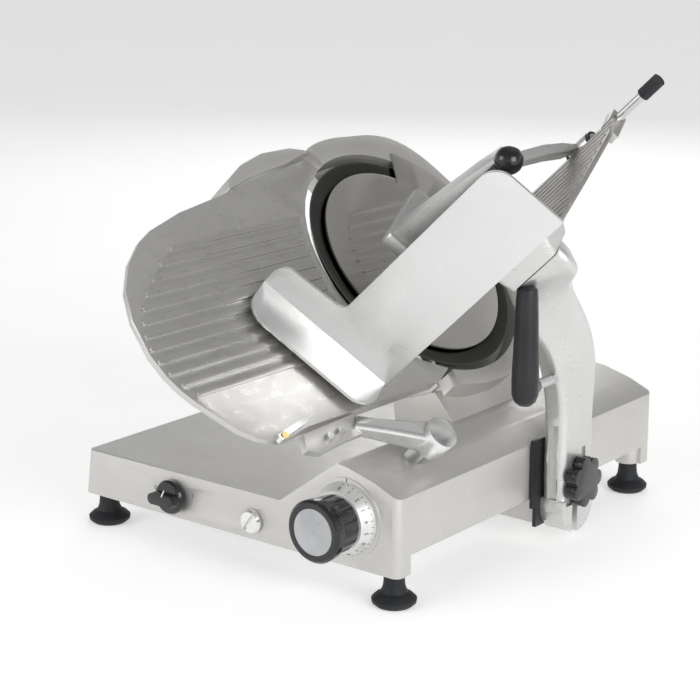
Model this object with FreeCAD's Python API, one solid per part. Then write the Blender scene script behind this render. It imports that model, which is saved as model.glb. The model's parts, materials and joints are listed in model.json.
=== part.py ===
import FreeCAD, Part
import math
import os

# Gravity-feed food slicer. Millimetres. X is the width, Y the depth (the carriage travels along Y),
# Z is up, and the feet stand on Z = 0. The sizes below are measured from the middle of the base box.
# The saved parts are moved so that the origin is under the middle of the whole machine's outline.

# ---- driving dimensions ----
base_width = 474.0
base_depth = 532.0
foot_height = 38.0
platform_z = 93.0
valley_x = 73.0
ridge_x = 154.0
ridge_z = 152.0
edge_z = 126.6
wall = 6.0
skirt_z = 60.0
tilt = 43.0              # the blade axis rises this many degrees above the horizontal
blade_r = 147.0
cover_r = 127.0
guard_inner_r = 156.0
guard_outer_r = 183.0
blade_centre = (48.5, 9.7, 313.8)
cradle_roll = 26.5       # the tray leans this much towards the operator
tray_origin = (144.6, -176.1, 222.5)
tray_length = 306.0
table_depth = 200.0
wall_height = 86.0
sheet = 4.0
column_x0 = 243.0
column_x1 = 273.0
column_y0 = 1.0
column_y1 = 68.0
knob_x = 169.0
knob_z = 94.0
cam_throw = 15.0
cam_turn = 300.0
run = 0.05               # running clearance on the radius
origin_x = 67.37
origin_y = -85.15

os.makedirs("parts", exist_ok=True)

V = FreeCAD.Vector
ct = math.cos(math.radians(tilt))
st = math.sin(math.radians(tilt))
s_dir = V(ct, 0, st)
u_dir = V(-st, 0, ct)
y_dir = V(0, 1, 0)
cr = math.cos(math.radians(cradle_roll))
sr = math.sin(math.radians(cradle_roll))
e_dir = y_dir * cr + u_dir * sr
w_dir = u_dir * cr - y_dir * sr


def frame(origin, xd, yd, zd):
    m = FreeCAD.Matrix(xd.x, yd.x, zd.x, origin[0],
                       xd.y, yd.y, zd.y, origin[1],
                       xd.z, yd.z, zd.z, origin[2],
                       0, 0, 0, 1)
    return FreeCAD.Placement(m)


# head frame: x along the travel, y up the blade, z along the blade axis towards the food
HEAD = frame(blade_centre, y_dir, u_dir, s_dir)
# tray frame: x up the slope, y across the table, z up the tray wall
TRAY = frame(tray_origin, s_dir, e_dir, w_dir)


def put(shape, where):
    out = shape.copy()
    out.Placement = where.multiply(out.Placement)
    return out


def world(where, x, y, z):
    return where.multVec(V(x, y, z))


def save(name, shape):
    out = shape.copy()
    out.translate(V(-origin_x, -origin_y, 0))
    out.exportStep("parts/" + name + ".step")


def prism(points, z0, z1):
    wire = Part.makePolygon([V(p[0], p[1], z0) for p in points + [points[0]]])
    return Part.Face(wire).extrude(V(0, 0, z1 - z0))


def prism_y(points, y0, y1):
    wire = Part.makePolygon([V(p[0], y0, p[1]) for p in points + [points[0]]])
    return Part.Face(wire).extrude(V(0, y1 - y0, 0))


def box(x0, x1, y0, y1, z0, z1):
    return Part.makeBox(x1 - x0, y1 - y0, z1 - z0, V(x0, y0, z0))


def rod(r, p0, p1):
    d = V(*p1) - V(*p0)
    return Part.makeCylinder(r, d.Length, V(*p0), d)


def tube(r_out, r_in, p0, p1):
    return rod(r_out, p0, p1).cut(rod(r_in, p0, p1))


def revolve_z(profile):
    wire = Part.makePolygon([V(p[0], 0, p[1]) for p in profile + [profile[0]]])
    return Part.Face(wire).revolve(V(0, 0, 0), V(0, 0, 1), 360)


def arc_points(r, a0, a1, count, cx=0.0, cy=0.0):
    out = []
    for i in range(count + 1):
        a = math.radians(a0 + (a1 - a0) * i / count)
        out.append((cx + r * math.cos(a), cy + r * math.sin(a)))
    return out


def rounded(shape, radius, pick):
    edges = [e for e in shape.Edges if pick(e)]
    return shape.makeFillet(radius, edges)


def upright(e):
    a = e.Vertexes[0].Point
    b = e.Vertexes[-1].Point
    return abs(a.x - b.x) < 9 and abs(a.y - b.y) < 0.01 and abs(a.z - b.z) > 20


def corner_rect(x0, x1, y0, y1, r):
    pts = arc_points(r, 180, 270, 6, x0 + r, y0 + r)
    pts += arc_points(r, 270, 360, 6, x1 - r, y0 + r)
    pts += arc_points(r, 0, 90, 6, x1 - r, y1 - r)
    pts += arc_points(r, 90, 180, 6, x0 + r, y1 - r)
    return pts


# ---- base ----
hw = base_width / 2
hd = base_depth / 2
lean = 8.0
crest = [(ridge_x, ridge_z), (ridge_x + 14, ridge_z - 1.6), (ridge_x + 50, ridge_z - 11.5), (hw, edge_z)]
section = [(-hw + 1, foot_height), (-hw + 1 + lean, platform_z), (valley_x, platform_z)] + crest
section.append((hw, foot_height))
outer = prism_y(section, -hd, hd)
outer = rounded(outer, 9.0, upright)
inner_section = [(-hw + 7, foot_height - 1), (-hw + 6 + lean, platform_z - wall), (valley_x + 2.5, platform_z - wall)]
inner_section += [(ridge_x - 1, ridge_z - wall - 1.5), (ridge_x + 49, ridge_z - wall - 12.5)]
inner_section += [(hw - wall, edge_z - wall), (hw - wall, foot_height - 1)]
inner = prism_y(inner_section, -hd + wall, hd - wall)
base = outer.cut(inner)
base = base.cut(box(hw - wall - 3, hw + 1, -hd + 23, hd - 23, foot_height - 1, skirt_z))
feet_xy = [(x, y) for x in (-hw + 22, hw - 20) for y in (-hd + 20, hd - 20)]
for x, y in feet_xy:
    post = rod(16, (x, y, foot_height), (x, y, 57.5))
    base = base.fuse(post.common(outer))
    base = base.cut(rod(4.0, (x, y, foot_height - 1), (x, y, 57)))
# guide for the gauge shaft, bored along the blade axis
boss_c = world(HEAD, -190.7, -222, 27.3)
gauge_hole = boss_c - s_dir * 43
g0 = gauge_hole + s_dir * 30
g1 = gauge_hole - s_dir * 30
guide = rod(17, tuple(gauge_hole + s_dir * 14), tuple(gauge_hole - s_dir * 6)).common(outer)
base = base.fuse(guide)
base = base.cut(rod(10 + run, tuple(g0), tuple(g1)))
# belt duct down through the ridge
duct = prism([(-43, 0), (43, 0), (40, -250), (-40, -250)], -84, -54)
duct = duct.fuse(Part.makeCylinder(43, 30, V(0, 0, -84)))
duct = put(duct, HEAD)
base = base.cut(duct)
# holes for the controls in the front wall, and for the cable gland in the back wall
base = base.cut(rod(6 + run, (knob_x, -hd - 1, knob_z), (knob_x, -hd + 10, knob_z)))
base = base.cut(rod(12, (-88, -hd - 1, 64), (-88, -hd + 10, 64)))
base = base.cut(rod(9.05, (33, -hd - 1, 60), (33, -hd + 10, 60)))
base = base.cut(rod(8, (-180, hd - 10, 62), (-180, hd + 1, 62)))
base = base.fuse(tube(45, 6 + run, (knob_x, -hd - 2, knob_z), (knob_x, -hd, knob_z)))
for x, y in [(-170, -190), (-170, 190), (60, -190), (60, 190)]:
    base = base.fuse(rod(6, (x, y, foot_height + 2), (x, y, platform_z - wall)))
base = base.removeSplitter()
save("base_casting", base)

plate = box(-hw + 24, 168, -hd + 40, hd - 40, foot_height, foot_height + 2)
save("bottom_plate", plate)

feet = []
studs = []
for x, y in feet_xy:
    bell = revolve_z([(0, 0), (20, 0), (24.5, 4), (25, 8), (21, 12), (15, 15.5), (12.4, 22), (11.5, 30),
                      (11.5, foot_height), (0, foot_height)])
    bell.translate(V(x, y, 0))
    stud = rod(4, (x, y, 14), (x, y, 56))
    feet.append(bell.cut(stud))
    studs.append(stud)
save("feet", Part.makeCompound(feet))
save("foot_studs", Part.makeCompound(studs))

gland = revolve_z([(4, -14), (7.9, -14), (7.9, 0), (12, 0), (12, 6), (8, 16), (4, 16)])
gland.Placement = frame((-180, hd, 62), V(1, 0, 0), V(0, 0, -1), V(0, 1, 0))
save("cable_gland", gland)

# ---- controls on the front ----
FRONT = V(0, -1, 0)


def front(shape, x, z):
    out = shape.copy()
    out.Placement = frame((x, -hd, z), V(1, 0, 0), V(0, 0, 1), FRONT)
    return out


switch_body = box(-22, 22, -20, 20, -46, -wall - 0.2).cut(Part.makeCylinder(5, 60, V(0, 0, -50)))
switch_knob = revolve_z([(0, 3.2), (20, 3.2), (20.5, 8), (18.5, 11), (0, 11)])
grip = prism(corner_rect(-19.5, 19.5, -6.5, 6.5, 6.0), 10, 24)
stem = Part.makeCylinder(4.5, 30, V(0, 0, -22))
switch_knob = switch_knob.fuse(grip).fuse(stem)
switch_knob.rotate(V(0, 0, 0), V(0, 0, 1), 62)
save("switch_knob", front(switch_knob, -88, 64))
button = revolve_z([(0, -20), (9, -20), (9, 0.4), (14, 0.4), (14, 4), (12, 7), (0, 8.5)])
slot = prism(corner_rect(-2, 2, -12, 12, 1.9), 4.5, 12)
slot.rotate(V(0, 0, 0), V(0, 0, 1), -35)
button = button.cut(slot)
save("twist_button", front(button, 33, 60))
block = box(-16, 16, -14, 14, -52, -wall - 0.2).cut(Part.makeCylinder(9.3, 40, V(0, 0, -40)))
save("switch_bodies", Part.makeCompound([front(switch_body, -88, 64), front(block, 33, 60)]))

# thickness gauge knob: dial skirt, fluted grip, flat insert, spindle and cam
dial = revolve_z([(6, 2.4), (41, 2.4), (41, 6), (34, 20), (6, 20)])
save("gauge_dial", front(dial, knob_x, knob_z))
knob = revolve_z([(6, 20), (31, 20), (32, 24), (32, 44), (35, 48), (35, 57), (32, 60), (26, 60), (26, 58), (6, 58)])
for i in range(16):
    a = math.radians(22.5 * i)
    flute = Part.makeCylinder(4.0, 25, V(34.5 * math.cos(a), 34.5 * math.sin(a), 21))
    knob = knob.cut(flute)
save("gauge_knob", front(knob, knob_x, knob_z))
insert = revolve_z([(0, 58), (25.8, 58), (25.8, 59.4), (0, 60)])
save("gauge_knob_insert", front(insert, knob_x, knob_z))
cam_y0 = -68.0
spindle = Part.makeCylinder(6, 58 - cam_y0 + 2, V(0, 0, cam_y0 - 2))
save("gauge_spindle", front(spindle, knob_x, knob_z))
cam_r = 28.6
cam_pts = []
for i in range(73):
    a = 5.0 * i
    if a <= cam_turn + 8:
        r = cam_r - cam_throw * min(a, cam_turn) / cam_turn
    else:
        r = cam_r - cam_throw * (352 - min(a, 352)) / (352 - cam_turn - 8)
    phi = math.radians(tilt + a)
    cam_pts.append((r * math.cos(phi), r * math.sin(phi)))
cam_pts = cam_pts[:-1]
cam = prism(cam_pts, cam_y0, cam_y0 + 8).cut(Part.makeCylinder(6, 20, V(0, 0, cam_y0 - 6)))
save("gauge_cam", front(cam, knob_x, knob_z))

# ---- head casting: guard ring, wing, hub housing and pedestal ----
a_lo = -111.0
a_hi = 105.5
ring_out = arc_points(guard_outer_r, a_lo, a_hi, 60)
bulge = []
for x, y in ring_out:
    a = math.degrees(math.atan2(y, x))
    grow = 0.0
    if 25 < a < 85:
        grow = 14.0 * math.sin(math.radians((a - 25) * 3)) ** 2
    if a < -60:
        grow = -8.0 * min(1.0, (-60 - a) / 30)
    k = (guard_outer_r + grow) / guard_outer_r
    bulge.append((x * k, y * k))
ring = prism(bulge + arc_points(guard_inner_r, a_hi, a_lo, 60), -40, 3)
web = prism(arc_points(guard_inner_r + 2, a_lo, a_hi, 40) + [(0, 0)], -40, -20)
wing_pts = [(-30, 153), (-36, 178), (-53, 177), (-76, 183), (-126, 183), (-170, 173), (-202, 158), (-210, 147),
            (-204, 138), (-150, 146), (-96, 153)]
wing = prism(wing_pts, -40, -28)
lip = prism([(-49, 171), (-53, 177), (-76, 183), (-126, 183), (-170, 173), (-202, 158), (-210, 147),
             (-209, 145.5), (-175, 153.5), (-96, 163.5), (-60, 172)], -40, -2)
hub = Part.makeCylinder(40, 36, V(0, 0, -56))
hood = prism([(-48, 0), (48, 0), (60, -150), (-60, -150)], -84, -26)
hood = hood.fuse(Part.makeCylinder(48, 58, V(0, 0, -84)))
head = ring.fuse(web).fuse(wing).fuse(lip).fuse(hub).fuse(hood)
head = put(head, HEAD)
top_front = world(HEAD, 0, -156, -26)
top_back = world(HEAD, 0, -130, -84)
pedestal = prism_y([(top_front.x, top_front.z), (top_back.x, top_back.z), (84, 96), (118, 80), (ridge_x + 8, 142),
                    (ridge_x + 8, 152)], -62, 106)
pedestal = pedestal.cut(outer)
head = head.fuse(pedestal)
head = head.cut(duct)
bore = Part.makeCylinder(10.5, 60, V(0, 0, -70))
bore = bore.fuse(Part.makeCylinder(16, 10, V(0, 0, -54)))
bore = bore.fuse(Part.makeCylinder(16, 10, V(0, 0, -29)))
bore = bore.fuse(Part.makeCylinder(34, 12, V(0, 0, -20)))
head = head.cut(put(bore, HEAD))
head = head.cut(outer.cut(inner))
head = head.removeSplitter()
bearings = []
for z in (-54.0, -28.0):
    b = tube(16, 10 + run, (0, 0, z), (0, 0, z + 8))
    bearings.append(put(b, HEAD))
save("blade_bearings", Part.makeCompound(bearings))
cover_pts = [(-48, 0), (-58, -124), (58, -124), (48, 0)]
belt_cover = prism(cover_pts, -88, -84.2).fuse(Part.makeCylinder(48, 3.8, V(0, 0, -88)))
save("belt_cover", put(belt_cover.removeSplitter(), HEAD))
screws = []
for x, y in [(-45.5, 0), (45.5, 0), (-51, -112), (51, -112), (0, 45.5)]:
    s = Part.makeCylinder(3.2, 2.4, V(x, y, -90.4))
    screws.append(put(s, HEAD))
save("belt_cover_screws", Part.makeCompound(screws))

# ---- blade rotor ----
blade = revolve_z([(12, -5), (129, -5), (131, -4.6), (blade_r, -1.2), (blade_r, -0.6), (131, -1.6), (127, -2.2), (12, -2.2)])
for i in range(3):
    a = math.radians(30 + 120 * i)
    blade = blade.cut(Part.makeCylinder(3, 12, V(22 * math.cos(a), 22 * math.sin(a), -10)))
save("blade", put(blade, HEAD))
hub_flange = revolve_z([(10, -14), (20, -14), (30, -11), (30, -5), (12, -5), (12, -2.4), (10, -2.4)])
for i in range(3):
    a = math.radians(30 + 120 * i)
    hub_flange = hub_flange.cut(Part.makeCylinder(3, 7, V(22 * math.cos(a), 22 * math.sin(a), -11)))
shaft = Part.makeCylinder(10, 76, V(0, 0, -78.5)).fuse(hub_flange).removeSplitter()
save("blade_shaft", put(shaft, HEAD))
bolts = []
for i in range(3):
    a = math.radians(30 + 120 * i)
    c = Part.makeCylinder(3, 6.2, V(22 * math.cos(a), 22 * math.sin(a), -8.4))
    h = Part.makeCylinder(5, 1.8, V(22 * math.cos(a), 22 * math.sin(a), -2.2))
    bolts.append(put(c.fuse(h), HEAD))
save("blade_bolts", Part.makeCompound(bolts))
pulley = revolve_z([(10, -72), (40, -72), (40, -70.4), (38.5, -70), (38.5, -59), (40, -58.6), (40, -57), (10, -57)])
save("blade_pulley", put(pulley, HEAD))

# ---- drive ----
motor_u = -228.0
motor_pulley_r = 15.4
mp = revolve_z([(4, -72), (17, -72), (17, -70.4), (motor_pulley_r, -70), (motor_pulley_r, -59), (17, -58.6), (17, -57), (4, -57)])
mp.translate(V(0, motor_u, 0))
save("motor_pulley", put(mp, HEAD))
motor_shaft = Part.makeCylinder(4, 66, V(0, motor_u, -122))
save("motor_rotor", put(motor_shaft.fuse(Part.makeCylinder(20, 26, V(0, motor_u, -114))), HEAD))
motor = Part.makeCylinder(30, 45, V(0, motor_u, -122))
motor = motor.cut(Part.makeCylinder(21, 30, V(0, motor_u, -116)))
motor = motor.cut(Part.makeCylinder(4.3, 60, V(0, motor_u, -124)))
save("motor_body", put(motor, HEAD))
bracket = box(-38, 38, motor_u - 20, motor_u + 62, -77, -74).cut(Part.makeCylinder(9, 10, V(0, motor_u, -80)))
bracket = put(bracket, HEAD).common(inner)
save("motor_bracket", bracket)


def belt_loop(r1, r2, y2, z0, z1):
    a = math.degrees(math.asin((r1 - r2) / abs(y2)))
    pts = arc_points(r1, -a, 180 + a, 40)
    pts += arc_points(r2, 180 + a, 360 - a, 24, 0, y2)
    return prism(pts, z0, z1)


belt = belt_loop(38.5 + 2.4, motor_pulley_r + 2.4, motor_u, -69, -60)
belt = belt.cut(belt_loop(38.5 + 0.3, motor_pulley_r + 0.3, motor_u, -71, -58))
save("drive_belt", put(belt, HEAD))

# ---- blade cover ----
cover = Part.makeCylinder(cover_r, 3, V(0, 0, 1))
tab = prism([(100, 46), (150, 60), (176, 44), (180, 0), (176, -44), (150, -60), (100, -46)], 3.0, 5.0)
sector = prism(arc_points(168, 60, -24, 28) + arc_points(118, -24, 60, 28), 3.0, 5.0)
cover = cover.fuse(tab).fuse(sector)
for i in range(9):
    y = 78.0 - 15.2 * i
    x0 = -math.sqrt(max(0.0, 97.0 ** 2 - y * y))
    rib = prism(corner_rect(x0, 92, y - 2.6, y + 2.6, 2.5), 3.9, 5.3)
    cover = cover.fuse(rib)
cover = cover.removeSplitter()
save("blade_cover", put(cover, HEAD))
head_hole = put(Part.makeCylinder(4, 60, V(166, 0, -55)), HEAD)
head = head.cut(head_hole)
save("head_casting", head)
cover_knob = revolve_z([(0, -52), (14, -52), (15, -48), (15, -43), (9, -40.2), (3.9, -40.2), (3.9, 2.9), (0, 2.9)])
cover_knob.translate(V(166, 0, 0))
save("cover_knob", put(cover_knob, HEAD))

deflector = prism(arc_points(138, 112, 232, 30) + arc_points(60, 232, 112, 20), -13, -11)
deflector = deflector.fuse(prism([(-30, 45), (-30, 62), (-12, 70), (12, 70), (12, 52)], -13, -11))
deflector_post = Part.makeCylinder(5, 7, V(4, 61, -20))
deflector = deflector.fuse(prism([(-22, 50), (-22, 72), (12, 68), (12, 54)], -13, -11))
deflector = deflector.fuse(deflector_post)
save("slice_deflector", put(deflector.removeSplitter(), HEAD))

# ---- gauge plate and its support ----
plate_pts = [(-366, -156), (-320, -150), (-80, -151)]
for i in range(17):
    y = -141 + (147 + 141) * i / 16.0
    x = 5.8 - math.sqrt(155.6 ** 2 - (y - 2) ** 2)
    plate_pts.append((x, y))
plate_pts += [(-58, 158), (-62, 163.5), (-96, 159.5), (-175, 149.5), (-230, 139.5), (-306, 129), (-362, 115),
              (-385, 105), (-416, 83), (-442, 53), (-457, 19), (-462, -24), (-458, -50), (-451, -70),
              (-442, -86), (-411, -129), (-393, -144)]
gauge = prism(plate_pts, -9, -2.0)
gauge = gauge.cut(prism([(-95, -130), (-160, -60), (-172, 0), (-160, 70), (-105, 136), (-360, 100), (-440, 0),
                         (-400, -120)], -10, -5.5))
rib_count = 12
rib_pitch = 15.3
rib_right = [-134, -140, -148, -152, -155, -158, -160, -160, -158, -154, -148, -140]
for i in range(rib_count):
    y = 89.5 - rib_pitch * i
    x0 = -462 + 0.0085 * (y + 24) ** 2
    if y < -40:
        x0 = -462 + 0.0078 * (y + 24) ** 2
    gauge = gauge.fuse(prism(corner_rect(x0 + 3, rib_right[i], y - 3.4, y + 3.4, 3.3), -2.1, 0.2))
flange = prism([(-352, -153.5), (-320, -150), (-82, -151), (-82, -147), (-320, -146), (-352, -149.5)], -22, -8.9)
gauge = gauge.fuse(flange).removeSplitter()
save("gauge_plate", put(gauge, HEAD))

boss = rod(19, tuple(boss_c - s_dir * 11), tuple(boss_c + s_dir * 17))


def ring_section(where, half_a, half_b, r):
    pts = corner_rect(-half_a, half_a, -half_b, half_b, r)
    wire = Part.makePolygon([V(p[0], p[1], 0) for p in pts + [pts[0]]])
    wire.Placement = where
    return wire


tip = world(HEAD, -238, -163.5, -14)
axis_a = tip - boss_c
axis_a.normalize()
side_b = s_dir.cross(axis_a)
side_b.normalize()
side_c = axis_a.cross(side_b)
links = []
for k, ha, hb in ((0.0, 15, 14), (0.35, 12, 12.5), (0.7, 10, 10.5), (1.0, 10, 9.5)):
    p = boss_c + (tip - boss_c) * k + s_dir * 3 * (1 - k)
    links.append(ring_section(frame(tuple(p), side_b, side_c, axis_a), ha, hb, 6))
gauge_arm = Part.makeLoft(links, True, False).fuse(boss)
shaft_lo = boss_c - s_dir * 119
shaft_hi = boss_c + s_dir * 8
gauge_shaft = rod(10, tuple(shaft_lo), tuple(shaft_hi))
gauge_arm = gauge_arm.cut(gauge_shaft)
gauge_arm = gauge_arm.cut(put(gauge, HEAD))
gauge_arm = gauge_arm.removeSplitter()
save("gauge_arm", gauge_arm)
save("gauge_shaft", gauge_shaft)
mount_bar = prism([(-330, -172), (-322, -154), (-236, -151.2), (-232, -151.2), (-232, -176), (-262, -176),
                   (-310, -180)], -20, -10)
mount_bar = put(mount_bar, HEAD).cut(gauge_arm).cut(put(gauge, HEAD))
save("gauge_bracket", mount_bar)
caps = []
for x, y in [(-272, -166), (-292, -168)]:
    caps.append(put(Part.makeCylinder(5, 6, V(x, y, -10)), HEAD))
save("gauge_bracket_screws", Part.makeCompound(caps))
wedge = prism([(-372, -157), (-318, -146.5), (-320, -140), (-372, -149)], -2, 5)
wedge = wedge.cut(Part.makeCylinder(2.5, 9, V(-364, -152.5, -3)))
save("gauge_wedge", put(wedge, HEAD))
brass = Part.makeCylinder(2.5, 7, V(-364, -152.5, -2)).fuse(Part.makeCylinder(4, 1.6, V(-364, -152.5, 5)))
save("gauge_wedge_screw", put(brass, HEAD))
# follower that rides on the cam
cam_axis = V(knob_x, 0, knob_z)
fol_c = cam_axis + s_dir * (cam_r + 0.4 + 3.0)
cam_y_hi = -hd - cam_y0
roller = rod(3, (fol_c.x, cam_y_hi - 8, fol_c.z), (fol_c.x, cam_y_hi + 4, fol_c.z))
perp = (V(gauge_hole.x, 0, gauge_hole.z) - fol_c).dot(u_dir)
lug = prism([(-9, -7), (3.5, -7), (3.5, perp + 3), (-9, perp + 3)], 0, 8)
lug.Placement = frame((fol_c.x, cam_y_hi + 4.0, fol_c.z), s_dir, u_dir, V(0, -1, 0))
lug.translate(V(0, 8, 0))
lug = lug.cut(gauge_shaft)
save("cam_follower", lug.fuse(roller).removeSplitter())

# ---- carriage ----
bars = [rod(10, (214, -hd + 14, 76), (214, hd - 14, 76)), rod(7, (188, -hd + 14, 54), (188, hd - 14, 54))]
save("guide_bars", Part.makeCompound(bars))
blocks = []
for y in (-hd + wall, hd - wall - 12):
    b = box(176, hw - wall, y, y + 12, 44, 92).cut(bars[0]).cut(bars[1])
    for x, yy in feet_xy:
        b = b.cut(rod(16.5, (x, yy, 30), (x, yy, 58)))
    blocks.append(b)
save("bar_end_blocks", Part.makeCompound(blocks))
slider = box(198, 230, -20, 74, 59.5, 92)
slider = slider.fuse(box(176, 200, -20, 74, 44, 66))
slider = slider.cut(rod(13, (214, -30, 76), (214, 90, 76)))
slider = slider.cut(rod(9, (188, -30, 54), (188, 90, 54)))
root = box(176, 238.2, 4, 58, 26, 57)
root = root.cut(box(175, 201, 3, 59, 44, 60))
slider = slider.fuse(root).removeSplitter()
save("carriage_slider", slider)
bushes = [tube(13, 10 + run, (214, -20, 76), (214, 4, 76)), tube(13, 10 + run, (214, 50, 76), (214, 74, 76)),
          tube(9, 7 + run, (188, -20, 54), (188, 74, 54))]
save("slider_bushes", Part.makeCompound(bushes))
tongue = box(238.2, 242.9, -15, 62, 50, 132).fuse(box(238.2, 242.9, -8, 62, 26, 50)).removeSplitter()
clamp_y = 29.0
clamp_z = 82.0
clamp_stud = rod(5, (238.2, clamp_y, clamp_z), (284, clamp_y, clamp_z))
tongue = tongue.cut(clamp_stud)
save("carriage_tongue", tongue)
save("clamp_stud", clamp_stud)


def arm_section(cx, cy, cz, ax, up, ha, hb, r):
    a = V(*ax)
    a.normalize()
    n = V(*up)
    n = n - a * n.dot(a)
    n.normalize()
    b = n.cross(a)
    return ring_section(frame((cx, cy, cz), a, b, n), ha, hb, r)


arm_mid_y = (column_y0 + column_y1) / 2
arm_mid_x = (column_x0 + column_x1) / 2
half_x = (column_x1 - column_x0) / 2
half_y = (column_y1 - column_y0) / 2
sections = []
for z in (44, 80, 120, 160):
    sections.append(arm_section(arm_mid_x, arm_mid_y, z, (0, 1, 0), (0, 0, 1), half_y, half_x, 9))
sections += [
    arm_section(263, 20, 220, (0.2, 1, 0), (0, -0.25, 1), half_y + 1, half_x + 1, 9),
    arm_section(270, -18, 276, (0.5, 0.85, 0.25), (0, -0.6, 1), 34, 16, 9),
    arm_section(284, -72, 328, (0.72, 0.4, 0.5), (0.05, -0.9, 1), 36, 16, 9),
    arm_section(306, -122, 366, (0.731, 0, 0.682), (-0.2, -0.9, 0.9), 40, 14, 9)]
upper = Part.makeLoft(sections, True, False)
foot_disc = rod(33.5, (column_x0, arm_mid_y, 50), (column_x1, arm_mid_y, 50))
foot_disc = foot_disc.common(box(column_x0, column_x1, column_y0, column_y1, 16.6, 60))
arm = upper.fuse(foot_disc)
under = put(prism([(100, -60), (400, -60), (400, 260), (100, 260)], -5, 200), TRAY)
arm = arm.cut(under)
flare_low = corner_rect(184, 258, 22, 74, 8)
flare_high = corner_rect(186, 268, 14, 96, 8)
flare = Part.makeLoft([Part.makePolygon([V(p[0], p[1], z) for p in pts + [pts[0]]])
                       for pts, z in ((flare_low, -30), (flare_high, -5))], True, True)
arm = arm.fuse(put(flare, TRAY))
arm = arm.cut(box(column_x0 - 20, column_x0, column_y0 - 60, column_y1 + 60, 0, 215))
arm = arm.cut(box(column_x0 - 1, column_x1 + 1, clamp_y - 5.6, clamp_y + 5.6, 10, clamp_z))
arm = arm.cut(rod(5.6, (column_x0 - 1, clamp_y, clamp_z), (column_x1 + 1, clamp_y, clamp_z)))
arm = arm.cut(box(column_x1 - 4, column_x1 + 1, 10, 48, 52, 118))
arm = arm.cut(box(column_x0 + 9, column_x1 - 9, column_y0 - 1, column_y0 + 5, 60, 150))
arm = arm.removeSplitter()
save("carriage_arm", arm)
lobes = []
for i in range(7):
    a = 2 * math.pi * i / 7
    lobes.append(rod(9.5, (276.5, clamp_y + 20.5 * math.cos(a), clamp_z + 20.5 * math.sin(a)),
                     (290, clamp_y + 20.5 * math.cos(a), clamp_z + 20.5 * math.sin(a))))
clamp = rod(23, (276.5, clamp_y, clamp_z), (290, clamp_y, clamp_z))
for lobe in lobes:
    clamp = clamp.fuse(lobe)
clamp = clamp.fuse(rod(11, (269.4, clamp_y, clamp_z), (277, clamp_y, clamp_z)))
clamp = clamp.cut(rod(5 + run, (260, clamp_y, clamp_z), (284.2, clamp_y, clamp_z))).removeSplitter()
save("clamp_knob", clamp)

grip_x = 302.0
grip_y = -128.0
grip_z = 211.0
handle = revolve_z([(0, 0), (7, 1.5), (12, 6), (14.5, 13), (15, 30), (13.5, 70), (12, 118), (11, 129), (7, 132), (0, 132)])
handle.translate(V(grip_x, grip_y, grip_z))
peg_a = V(grip_x, grip_y, grip_z + 19)
peg_b = V(259, 2, 207)
d = peg_b - peg_a
d.normalize()
peg = rod(6, tuple(peg_a), tuple(peg_b))
collar = Part.makeCone(12, 9, 30, peg_a + d * 8, d)
handle = handle.fuse(collar).cut(peg)
save("handle", handle.removeSplitter())
save("handle_stud", peg.cut(arm))

# ---- tray ----
table_pts = [(0.0, 0.2), (308, 0.2), (322, 70), (334, 150), (326, 192), (314, 200), (0, 200)]
table = prism(table_pts, -5, 0)
rib_n = 12
for i in range(rib_n):
    y = 10 + (188 - 10) * i / (rib_n - 1.0)
    x_end = 308 + 0.12 * y
    rib = prism([(6, y - 2.2), (x_end, y - 2.2), (x_end, y + 2.2), (6, y + 2.2)], -0.2, 1.3)
    table = table.fuse(rib)
table = table.removeSplitter()
side = [(0, -6), (tray_length + 2, -6)]
side += arc_points(24, 0, 90, 8, tray_length + 2 - 24, wall_height - 24)
side += [(52, wall_height), (46, wall_height + 3), (43, wall_height + 9), (40, 150)]
side += arc_points(18, 0, 90, 6, 22, 152)
side += [(0, 170)]
wire = Part.makePolygon([V(p[0], -sheet, p[1]) for p in side + [side[0]]])
tray_wall = Part.Face(wire).extrude(V(0, sheet, 0))
guard_pts = arc_points(27, 180, 270, 8, -60 + 27, -4 + 27) + [(0, -4), (0, 170)]
guard_pts += arc_points(27, 90, 180, 8, -60 + 27, 170 - 27)
wire = Part.makePolygon([V(0, p[0], p[1]) for p in guard_pts + [guard_pts[0]]])
hand_guard = Part.Face(wire).extrude(V(sheet, 0, 0))
tray_wall = tray_wall.fuse(hand_guard).removeSplitter()
save("tray_wall", put(tray_wall, TRAY))
nut = Part.makeCylinder(5.5, 4.4, V(216, 115.2, 0)).fuse(Part.makeCylinder(3, 5.9, V(216, 115.2, 0)))
save("tray_nut", put(nut, TRAY))

# ---- pusher ----
rod_y = 213.0
rod_z = -7.0


def along_x(r, x0, x1, y, z):
    return Part.makeCylinder(r, x1 - x0, V(x0, y, z), V(1, 0, 0))


pusher_rod = along_x(5, 8, 372, rod_y, rod_z)
save("pusher_rod", put(pusher_rod, TRAY))
for x, y in ((12, 199), (310, 192)):
    lug_b = box(x, x + 12, y, rod_y + 9, rod_z - 9, rod_z + 9).fuse(box(x, x + 12, y - 12, y + 2, rod_z - 9, -4))
    lug_b = lug_b.cut(pusher_rod)
    table = table.fuse(lug_b)
save("tray_table", put(table.removeSplitter(), TRAY))
cap = along_x(7.5, 362, 388, rod_y, rod_z)
for i in range(10):
    a = 2 * math.pi * i / 10
    cap = cap.cut(along_x(1.2, 364, 386, rod_y + 7.9 * math.cos(a), rod_z + 7.9 * math.sin(a)))
cap = cap.cut(pusher_rod)
save("rod_cap", put(cap, TRAY))
sleeve = along_x(8, 246, 284, rod_y, rod_z).cut(along_x(5 + run, 240, 290, rod_y, rod_z))
save("pusher_sleeve", put(sleeve, TRAY))
rings = []
for x in (246, 280):
    rings.append(put(along_x(11, x, x + 4, rod_y, rod_z).cut(along_x(8, x - 1, x + 5, rod_y, rod_z)), TRAY))
save("sleeve_rings", Part.makeCompound(rings))
arch_hub = along_x(12, 250.4, 279.6, rod_y, rod_z)
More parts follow.
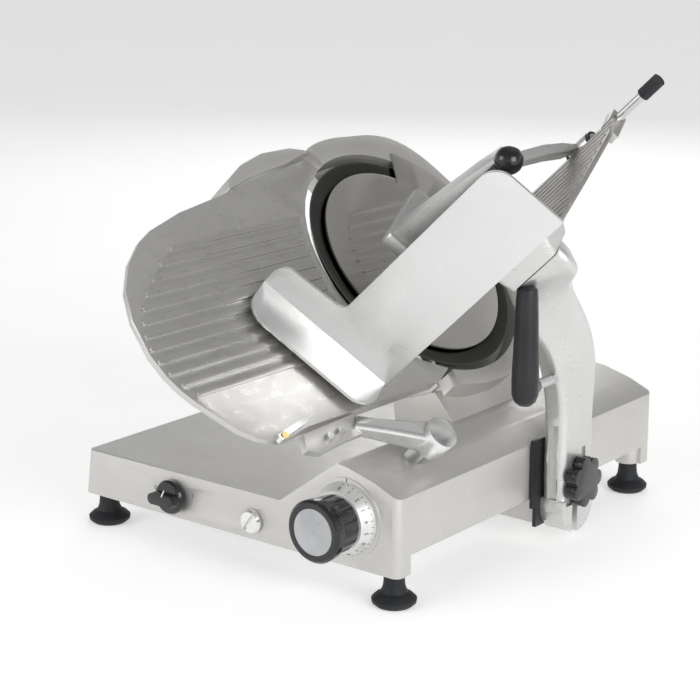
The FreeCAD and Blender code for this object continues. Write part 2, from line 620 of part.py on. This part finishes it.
arch_pts = [(209, 5), (190, 20), (160, 38), (125, 54), (95, 67), (74, 76), (74, 62), (95, 53), (122, 42),
            (155, 26), (185, 9), (203, 2), (205, -1)]
wire = Part.makePolygon([V(252, p[0], p[1]) for p in arch_pts + [arch_pts[0]]])
arch = Part.Face(wire).extrude(V(14, 0, 0)).fuse(arch_hub)
arch = arch.cut(along_x(8 + run, 240, 290, rod_y, rod_z))
beam_pts = [(111, 60), (111, 98), (229, 84), (266, 78), (266, 60), (229, 56)]
wire = Part.makePolygon([V(p[0], 70, p[1]) for p in beam_pts + [beam_pts[0]]])
beam = Part.Face(wire).extrude(V(0, 30, 0))
press_arm = arch.fuse(beam).removeSplitter()
save("press_arm", put(press_arm, TRAY))
pusher = prism(corner_rect(66, 172, 3, 101, 6), 95, 111)
pusher.Placement = frame((0, 0, 0), V(0, 1, 0), V(0, 0, 1), V(1, 0, 0))
spikes = []
for i in range(3):
    for j in range(3):
        c = Part.makeCone(2.4, 0.4, 7, V(95, 88 + 30 * i, 24 + 24 * j), V(-1, 0, 0))
        spikes.append(c)
for c in spikes:
    pusher = pusher.fuse(c)
save("pusher_plate", put(pusher, TRAY))
lever = along_x(6, 196, 266, 63.9, 70)
save("press_lever", put(lever, TRAY))
ball = Part.makeSphere(15.5, V(279, 66, 67)).cut(lever).cut(press_arm)
save("lever_ball", put(ball, TRAY))
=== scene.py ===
import bpy
import bmesh
import json
import math
from mathutils import Matrix, Vector


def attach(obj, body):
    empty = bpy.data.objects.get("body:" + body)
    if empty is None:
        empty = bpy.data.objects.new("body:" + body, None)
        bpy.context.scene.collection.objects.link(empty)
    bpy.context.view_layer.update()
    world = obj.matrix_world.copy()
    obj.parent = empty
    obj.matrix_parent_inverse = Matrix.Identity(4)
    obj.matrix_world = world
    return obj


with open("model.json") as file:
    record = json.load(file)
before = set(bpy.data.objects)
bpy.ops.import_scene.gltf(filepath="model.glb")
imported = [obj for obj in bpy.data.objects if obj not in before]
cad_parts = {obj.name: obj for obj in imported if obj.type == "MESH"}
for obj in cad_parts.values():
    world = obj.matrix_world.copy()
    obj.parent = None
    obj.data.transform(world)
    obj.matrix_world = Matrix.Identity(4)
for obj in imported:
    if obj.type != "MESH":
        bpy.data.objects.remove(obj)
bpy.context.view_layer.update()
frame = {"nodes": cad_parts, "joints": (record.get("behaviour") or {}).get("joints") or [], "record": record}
nodes = frame["nodes"]
joints = {j["name"]: j for j in frame["joints"]}

TILT = math.radians(43.0)
U = Vector((-math.sin(TILT), 0.0, math.cos(TILT)))
X = Vector((1, 0, 0))
Y = Vector((0.0, 1.0, 0.0))
Z = Vector((0, 0, 1))
FRONT = Vector((0, -1, 0))
BLADE = Vector(joints["blade_spin"]["pos_m"])
KNOB = Vector(joints["gauge_knob_turn"]["pos_m"])
SWITCH = Vector(joints["switch_turn"]["pos_m"])


# ---- materials ----
class Graph:
    def __init__(self, name):
        self.mat = bpy.data.materials.new(name)
        self.mat.use_nodes = True
        self.t = self.mat.node_tree
        self.t.nodes.clear()
        self.out = self.t.nodes.new("ShaderNodeOutputMaterial")
        self.p = self.t.nodes.new("ShaderNodeBsdfPrincipled")
        self.link(self.p.outputs["BSDF"], self.out.inputs["Surface"])
        self.coord = self.t.nodes.new("ShaderNodeTexCoord")

    def link(self, a, b):
        self.t.links.new(a, b)

    def node(self, kind, **values):
        n = self.t.nodes.new(kind)
        for k, v in values.items():
            setattr(n, k, v)
        return n

    def noise(self, scale, detail=2.0, stretch=(1, 1, 1)):
        m = self.node("ShaderNodeMapping")
        m.inputs["Scale"].default_value = stretch
        self.link(self.coord.outputs["Object"], m.inputs["Vector"])
        n = self.node("ShaderNodeTexNoise")
        n.inputs["Scale"].default_value = scale
        n.inputs["Detail"].default_value = detail
        n.inputs["Roughness"].default_value = 0.5
        self.link(m.outputs["Vector"], n.inputs["Vector"])
        return n.outputs["Fac"]

    def math(self, op, a, b=None):
        n = self.node("ShaderNodeMath", operation=op)
        for i, v in enumerate((a, b)):
            if v is None:
                continue
            if isinstance(v, (int, float)):
                n.inputs[i].default_value = v
            else:
                self.link(v, n.inputs[i])
        return n.outputs["Value"]

    def dot(self, vector, axis):
        n = self.node("ShaderNodeVectorMath", operation="DOT_PRODUCT")
        self.link(vector, n.inputs[0])
        n.inputs[1].default_value = axis
        return n.outputs["Value"]

    def ramp(self, fac, stops):
        n = self.node("ShaderNodeValToRGB")
        while len(n.color_ramp.elements) < len(stops):
            n.color_ramp.elements.new(0.5)
        for e, (pos, col) in zip(n.color_ramp.elements, stops):
            e.position = pos
            e.color = (col[0], col[1], col[2], 1.0) if len(col) == 3 else col
        self.link(fac, n.inputs["Fac"])
        return n.outputs["Color"]

    def span(self, value, a, b, lo, hi):
        n = self.node("ShaderNodeMapRange")
        n.inputs["From Min"].default_value = a
        n.inputs["From Max"].default_value = b
        n.inputs["To Min"].default_value = lo
        n.inputs["To Max"].default_value = hi
        self.link(value, n.inputs["Value"])
        return n.outputs["Result"]

    def mix(self, fac, a, b):
        n = self.node("ShaderNodeMix", data_type="RGBA")
        for i, v in ((0, fac), (6, a), (7, b)):
            if isinstance(v, (tuple, list)):
                n.inputs[i].default_value = (v[0], v[1], v[2], 1.0)
            elif isinstance(v, (int, float)):
                n.inputs[i].default_value = v
            else:
                self.link(v, n.inputs[i])
        return n.outputs[2]

    def bump(self, height, strength, distance):
        n = self.node("ShaderNodeBump")
        n.inputs["Strength"].default_value = strength
        n.inputs["Distance"].default_value = distance
        self.link(height, n.inputs["Height"])
        self.link(n.outputs["Normal"], self.p.inputs["Normal"])
        return n


def tint(c, k):
    return tuple(min(1.0, q * k) for q in c)


def cast_metal(name, colour, rough=0.42, metallic=0.85, speck=0.16, grain=1.0):
    """Bead-blasted cast aluminium: fine speckle, slow blotches and handling marks."""
    g = Graph(name)
    fine = g.noise(1500.0 / grain, 2.0)
    slow = g.noise(14.0, 3.0)
    smear = g.noise(55.0, 4.0, (1, 1, 2.6))
    base = g.ramp(fine, [(0.32, tint(colour, 1 - speck)), (0.5, colour), (0.68, tint(colour, 1 + speck))])
    cloud = g.ramp(slow, [(0.35, tint(colour, 0.93)), (0.65, tint(colour, 1.05))])
    g.link(g.mix(0.42, base, cloud), g.p.inputs["Base Color"])
    smeared = g.span(smear, 0.3, 0.7, rough - 0.05, rough + 0.06)
    speckled = g.span(fine, 0.3, 0.7, -0.03, 0.03)
    g.link(g.math("ADD", smeared, speckled), g.p.inputs["Roughness"])
    g.p.inputs["Metallic"].default_value = metallic
    g.bump(fine, 0.28, 0.00025)
    return g.mat


def brushed_metal(name, colour, rough, stretch, metallic=1.0, streak=0.08, relief=0.16):
    """Sheet metal with long fine brushing and faint wipe marks."""
    g = Graph(name)
    lines = g.noise(420.0, 3.0, stretch)
    slow = g.noise(9.0, 3.0)
    wipe = g.noise(38.0, 4.0, (1.0, 2.2, 0.6))
    base = g.ramp(lines, [(0.3, tint(colour, 1 - streak)), (0.7, tint(colour, 1 + streak))])
    cloud = g.ramp(slow, [(0.35, tint(colour, 0.95)), (0.65, tint(colour, 1.04))])
    g.link(g.mix(0.4, base, cloud), g.p.inputs["Base Color"])
    wiped = g.span(wipe, 0.3, 0.7, rough - 0.06, rough + 0.07)
    streaked = g.span(lines, 0.3, 0.7, -0.04, 0.04)
    g.link(g.math("ADD", wiped, streaked), g.p.inputs["Roughness"])
    g.p.inputs["Metallic"].default_value = metallic
    g.bump(lines, relief, 0.0002)
    return g.mat


def polymer(name, colour, rough, grain_scale=900.0, bump=0.1, coat=0.0):
    """Moulded plastic or rubber: fine surface grain, dust and soft scuffs."""
    g = Graph(name)
    fine = g.noise(grain_scale, 2.0)
    scuff = g.noise(60.0, 5.0, (1, 1, 1.6))
    dust = g.noise(22.0, 3.0)
    base = g.ramp(dust, [(0.35, colour), (0.75, tuple(min(1, q * 1.35 + 0.004) for q in colour))])
    g.link(base, g.p.inputs["Base Color"])
    g.link(g.span(scuff, 0.35, 0.7, rough - 0.04, rough + 0.1), g.p.inputs["Roughness"])
    g.p.inputs["Coat Weight"].default_value = coat
    g.p.inputs["Specular IOR Level"].default_value = 0.3
    g.p.inputs["Coat Roughness"].default_value = 0.08
    g.bump(fine, bump, 0.0002)
    return g.mat


def blade_metal(name):
    """Ground steel disc: face painted near-black as a painted dark reflection of the surroundings, with
    turned rings, a slightly paler bevel and a bright edge.
    """
    g = Graph(name)
    off = g.node("ShaderNodeVectorMath", operation="SUBTRACT")
    g.link(g.coord.outputs["Object"], off.inputs[0])
    off.inputs[1].default_value = BLADE
    du = g.dot(off.outputs["Vector"], U)
    dy = g.dot(off.outputs["Vector"], Y)
    r = g.math("SQRT", g.math("ADD", g.math("MULTIPLY", du, du), g.math("MULTIPLY", dy, dy)))
    rings = g.math("SINE", g.math("MULTIPLY", r, 9000.0))
    wob = g.noise(26.0, 3.0)
    # colour by radius in metres: face, face's end, bevel's start, bevel's end, edge; the face's near-black
    # is a painted dark reflection
    col = g.ramp(r, [(0.0, (0.045, 0.043, 0.038)), (0.1295, (0.05, 0.048, 0.042)),
                     (0.1325, (0.08, 0.078, 0.07)), (0.1450, (0.10, 0.098, 0.09)),
                     (0.1466, (0.30, 0.30, 0.29))])
    shade = g.ramp(wob, [(0.3, (0.82, 0.82, 0.83)), (0.7, (1.0, 1.0, 1.0))])
    n = g.node("ShaderNodeMix", data_type="RGBA", blend_type="MULTIPLY")
    n.inputs[0].default_value = 0.6
    g.link(col, n.inputs[6])
    g.link(shade, n.inputs[7])
    g.link(n.outputs[2], g.p.inputs["Base Color"])
    worn = g.span(wob, 0.3, 0.7, 0.12, 0.2)
    g.link(g.math("ADD", worn, g.math("MULTIPLY", rings, 0.02)), g.p.inputs["Roughness"])
    g.p.inputs["Metallic"].default_value = 1.0
    g.bump(rings, 0.05, 0.0001)
    return g.mat


ALLOY = (0.60, 0.59, 0.565)
cast = cast_metal("cast_alloy_fine", ALLOY, 0.40, 0.6)
cast_pale = cast_metal("cast_alloy_pale", (0.66, 0.66, 0.65), 0.32, 0.7, 0.10)
cast_bright = cast_metal("cast_alloy_bright", (0.82, 0.82, 0.815), 0.22, 0.8, 0.05, 1.4)
sheet_side = brushed_metal("sheet_brushed_side", (0.72, 0.72, 0.715), 0.34, (0.5, 7.0, 2.0), 0.8)
sheet_table = brushed_metal("sheet_brushed_table", (0.56, 0.545, 0.52), 0.36, (0.5, 6.0, 0.5),
                            metallic=0.9, streak=0.05, relief=0.05)
plate_metal = cast_metal("gauge_plate_metal", (0.60, 0.59, 0.57), 0.32, 0.85, 0.13)
cover_metal = cast_metal("cover_metal", (0.50, 0.485, 0.455), 0.33, 0.9, 0.12)
steel = brushed_metal("turned_steel", (0.62, 0.62, 0.62), 0.25, (6.0, 6.0, 6.0), 1.0, 0.05)
# blade face colour is near-black: a painted dark reflection, not the steel's own tone
blade_mat = blade_metal("blade_steel_painted_reflection")
gloss_black = polymer("moulded_black_gloss", (0.012, 0.012, 0.013), 0.16, 700.0, 0.03, 0.5)
satin_black = polymer("moulded_black_satin", (0.014, 0.015, 0.017), 0.38, 1100.0, 0.12, 0.1)
rubber = polymer("black_rubber", (0.016, 0.017, 0.019), 0.55, 800.0, 0.2)
dial_pale = cast_metal("dial_pale_metal", (0.72, 0.72, 0.71), 0.35, 0.5, 0.06)
insert_pale = polymer("insert_pale", (0.38, 0.39, 0.40), 0.3, 900.0, 0.05, 0.2)
brass = brushed_metal("brass_turned", (0.75, 0.52, 0.22), 0.3, (5.0, 5.0, 5.0))
bronze = brushed_metal("bronze_turned", (0.60, 0.42, 0.22), 0.35, (5.0, 5.0, 5.0))
dark_paint = polymer("motor_paint", (0.05, 0.055, 0.06), 0.45, 600.0, 0.2)
ink = polymer("printed_ink", (0.02, 0.02, 0.022), 0.5, 900.0, 0.02)
white_ink = polymer("printed_white", (0.75, 0.75, 0.74), 0.5, 900.0, 0.02)

LOOK = {"sheet_alloy": sheet_side, "cast_alloy": cast, "blade_steel": blade_mat, "steel": steel,
        "black_plastic": gloss_black, "satin_plastic": satin_black, "foot_rubber": rubber,
        "belt_rubber": rubber, "pale_plastic": dial_pale, "bronze": bronze, "dark_paint": dark_paint}
SPECIAL = {"tray_table": sheet_table, "gauge_plate": plate_metal, "blade_cover": cover_metal,
           "gauge_knob_insert": insert_pale, "gauge_wedge_screw": brass, "twist_button": cast_bright,
           "gauge_arm": cast_bright, "gauge_wedge": cast_bright, "carriage_arm": cast_pale,
           "press_arm": cast_pale, "press_lever": gloss_black, "pusher_plate": cast_pale}
# rounded edge width of each softened node, in mm
BEVEL = {"base_casting": 1.6, "head_casting": 2.2, "carriage_arm": 1.5, "tray_wall": 0.8, "tray_table": 0.3,
         "gauge_plate": 0.7, "blade_cover": 0.6, "gauge_arm": 1.4, "gauge_knob": 0.7, "switch_knob": 0.9,
         "clamp_knob": 1.2, "press_arm": 1.4, "pusher_plate": 0.8, "twist_button": 0.4,
         "carriage_tongue": 0.5,
         "gauge_dial": 0.4, "handle": 0.8, "gauge_wedge": 0.5, "gauge_bracket": 0.6, "belt_cover": 0.5}
SHARP_ANGLE = math.radians(32)
WELD_GAP = 0.00002
slots = {s["node"]: s["material_slot"] for s in frame["record"]["subparts"]}


def dress(name, o):
    """Gives a CAD node its material, smooth faces and softened edges."""
    look = SPECIAL.get(name, LOOK[slots[name]])
    if not o.material_slots:
        o.data.materials.append(look)
    for s in o.material_slots:
        s.material = look
    o.data.shade_smooth()
    weld = o.modifiers.new("weld", "WELD")
    weld.merge_threshold = WELD_GAP
    if name in BEVEL:
        b = o.modifiers.new("soft_edges", "BEVEL")
        b.width = BEVEL[name] / 1000.0
        b.segments = 2
        b.limit_method = "ANGLE"
        b.angle_limit = SHARP_ANGLE
        b.use_clamp_overlap = True
    split = o.modifiers.new("crisp", "EDGE_SPLIT")
    split.split_angle = SHARP_ANGLE


for name, o in nodes.items():
    dress(name, o)


# ---- small pieces ----
def glyph(name, text, size, place, material, body):
    """A flat printed number or mark, set on a surface."""
    cu = bpy.data.curves.new(name + "_c", "FONT")
    cu.body = text
    cu.size = size
    cu.align_x = "CENTER"
    cu.align_y = "CENTER"
    cu.extrude = 0.00008
    tmp = bpy.data.objects.new(name + "_t", cu)
    bpy.context.scene.collection.objects.link(tmp)
    bpy.context.view_layer.update()
    me = bpy.data.meshes.new_from_object(tmp.evaluated_get(bpy.context.evaluated_depsgraph_get()))
    bpy.data.objects.remove(tmp)
    me.name = name
    me.transform(place)
    o = bpy.data.objects.new(name, me)
    bpy.context.scene.collection.objects.link(o)
    me.materials.clear()
    me.materials.append(material)
    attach(o, body)
    return o


def basis(origin, xd, yd, zd):
    m = Matrix((xd, yd, zd)).transposed().to_4x4()
    m.translation = origin
    return m


def bar(name, place, w, h, d, material, body):
    """A small printed or moulded bar, w by h across and d proud."""
    bm = bmesh.new()
    bmesh.ops.create_cube(bm, size=1.0)
    bmesh.ops.scale(bm, vec=(w, h, d), verts=bm.verts)
    bmesh.ops.bevel(bm, geom=list(bm.edges), offset=min(w, h, d) * 0.25, segments=2, affect="EDGES")
    me = bpy.data.meshes.new(name)
    bm.to_mesh(me)
    bm.free()
    me.transform(place)
    me.shade_smooth()
    me.materials.append(material)
    o = bpy.data.objects.new(name, me)
    bpy.context.scene.collection.objects.link(o)
    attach(o, body)
    return o


# numbers and ticks on the conical dial
DIAL_TICKS = 31
DIAL_STEP = 10
DIAL_SLOPE = Vector((-7.0, 14.0)).normalized()
DIAL_FOOT = (0.0406, 0.0068)
TICK_WIDTH = 0.0006
TICK_LONG = 0.0032
TICK_SHORT = 0.002
NUMBER_SIZE = 0.0068
NUMBER_OUT = 0.0078


def mark_dial():
    """Ticks every 10 degrees round the dial's cone, with a number at every second one."""
    for i in range(DIAL_TICKS):
        a = math.radians(90 - DIAL_STEP * i)
        out = X * math.cos(a) + Z * math.sin(a)
        along = out * DIAL_SLOPE.x + FRONT * DIAL_SLOPE.y
        normal = out * DIAL_SLOPE.y - FRONT * DIAL_SLOPE.x
        side = along.cross(normal)
        major = i % 2 == 0
        length = TICK_LONG if major else TICK_SHORT
        foot = KNOB + out * DIAL_FOOT[0] + FRONT * DIAL_FOOT[1]
        place = basis(foot + along * (length / 2) + normal * 0.00005, side, along, normal)
        bar("dial_tick_%02d" % i, place, TICK_WIDTH, length, 0.0002, ink, "gauge_control")
        if major:
            at = foot + along * NUMBER_OUT + normal * 0.00006
            place = basis(at, side, along, normal)
            glyph("dial_number_%02d" % (i // 2), str(i // 2), NUMBER_SIZE, place, ink, "gauge_control")


SWITCH_MARKS = ((-0.029, 0.004, "0"), (0.030, 0.006, "1"))
MARK_SIZE = 0.0075
GRIP_ANGLE = math.radians(62)
GRIP_FRONT = 0.0241
INDEX_AT = Vector((0, -0.0021, 0.0431))


def mark_switch():
    """Marks beside the main switch, and a pale line on its grip."""
    for k, (dx, dz, text) in enumerate(SWITCH_MARKS):
        at = SWITCH + Vector((dx, -0.00005, dz))
        glyph("switch_mark_%d" % k, text, MARK_SIZE, basis(at, X, Z, FRONT), ink, "base")
    ga = X * math.cos(GRIP_ANGLE) + Z * math.sin(GRIP_ANGLE)
    place = basis(SWITCH + FRONT * GRIP_FRONT + ga * 0.011, ga, FRONT.cross(ga), FRONT)
    bar("switch_pointer", place, 0.010, 0.0016, 0.0006, white_ink, "switch")


mark_dial()
mark_switch()
bar("dial_index", basis(KNOB + INDEX_AT, X, Z, FRONT), 0.0012, 0.003, 0.0004, ink, "base")

# ---- camera ----
# place and axes of the viewpoint, worked out before the CAD was centred on the origin by SHIFT
SHIFT = Vector((-0.06737, 0.08515, 0.0))
CAMERA_AT = Vector((1.3875, -1.8049, 0.7953))
CAMERA_RIGHT = Vector((0.78478, 0.61978, 0.0))
CAMERA_UP = Vector((-0.15727, 0.19914, 0.96727))
CAMERA_BACK = Vector((0.59949, -0.75909, 0.25376))


def add_camera():
    data = bpy.data.cameras.new("camera")
    data.lens = 99.3
    data.sensor_width = 36.0
    data.clip_start = 0.05
    data.clip_end = 60
    cam = bpy.data.objects.new("camera", data)
    bpy.context.scene.collection.objects.link(cam)
    cam.matrix_world = basis(CAMERA_AT + SHIFT, CAMERA_RIGHT, CAMERA_UP, CAMERA_BACK)
    bpy.context.scene.camera = cam


add_camera()

# ---- floor and light ----
FLOOR_HALF = 14.0


def add_floor():
    """A pale plain floor with a little glow, so that it reads as a white backdrop."""
    bm = bmesh.new()
    bmesh.ops.create_grid(bm, x_segments=1, y_segments=1, size=FLOOR_HALF)
    me = bpy.data.meshes.new("floor")
    bm.to_mesh(me)
    bm.free()
    floor = bpy.data.objects.new("floor", me)
    bpy.context.scene.collection.objects.link(floor)
    g = Graph("floor_pale")
    cloud = g.noise(3.0, 2.0)
    g.link(g.ramp(cloud, [(0.3, (0.90, 0.90, 0.90)), (0.7, (0.93, 0.93, 0.93))]), g.p.inputs["Base Color"])
    g.p.inputs["Roughness"].default_value = 0.9
    g.p.inputs["Emission Color"].default_value = (1.0, 1.0, 1.0, 1.0)
    g.p.inputs["Emission Strength"].default_value = 0.42
    me.materials.append(g.mat)


def lamp(name, where, target, size, power, colour=(1, 1, 1)):
    d = bpy.data.lights.new(name, "AREA")
    d.shape = "RECTANGLE"
    d.size, d.size_y = size
    d.energy = power
    d.color = colour
    o = bpy.data.objects.new(name, d)
    bpy.context.scene.collection.objects.link(o)
    o.location = where
    o.rotation_mode = "QUATERNION"
    o.rotation_quaternion = (Vector(target) - Vector(where)).to_track_quat("-Z", "Y")
    return o


add_floor()
lamp("key", (-1.5, -2.8, 1.5), (0, 0, 0.25), (2.0, 1.4), 30)
lamp("fill", (2.9, -0.9, 1.2), (0, 0, 0.25), (1.8, 1.6), 46)
lamp("top", (0.2, 0.8, 3.2), (0, 0, 0.2), (2.4, 2.4), 5)
lamp("back", (-1.5, 2.6, 1.6), (0, 0, 0.3), (1.6, 1.2), 14)


# sky brightness by how high the direction points, from level to straight up
SKY_LEVELS = [(0.0, 0.90), (0.2, 0.74), (0.55, 0.30), (1.0, 0.20)]


def add_world():
    """A bright band round the horizon and a darker sky, so top faces read darker than the sides."""
    world = bpy.data.worlds.new("studio")
    bpy.context.scene.world = world
    world.use_nodes = True
    tree = world.node_tree
    sky = tree.nodes.new("ShaderNodeTexCoord")
    part = tree.nodes.new("ShaderNodeSeparateXYZ")
    band = tree.nodes.new("ShaderNodeValToRGB")
    while len(band.color_ramp.elements) < len(SKY_LEVELS):
        band.color_ramp.elements.new(0.5)
    for e, (pos, level) in zip(band.color_ramp.elements, SKY_LEVELS):
        e.position = pos
        e.color = (level, level * 1.002, level * 1.005, 1.0)
    background = tree.nodes["Background"]
    tree.links.new(sky.outputs["Generated"], part.inputs["Vector"])
    tree.links.new(part.outputs["Z"], band.inputs["Fac"])
    tree.links.new(band.outputs["Color"], background.inputs["Color"])
    background.inputs["Strength"].default_value = 1.0


add_world()
bpy.context.scene.view_settings.view_transform = "Standard"
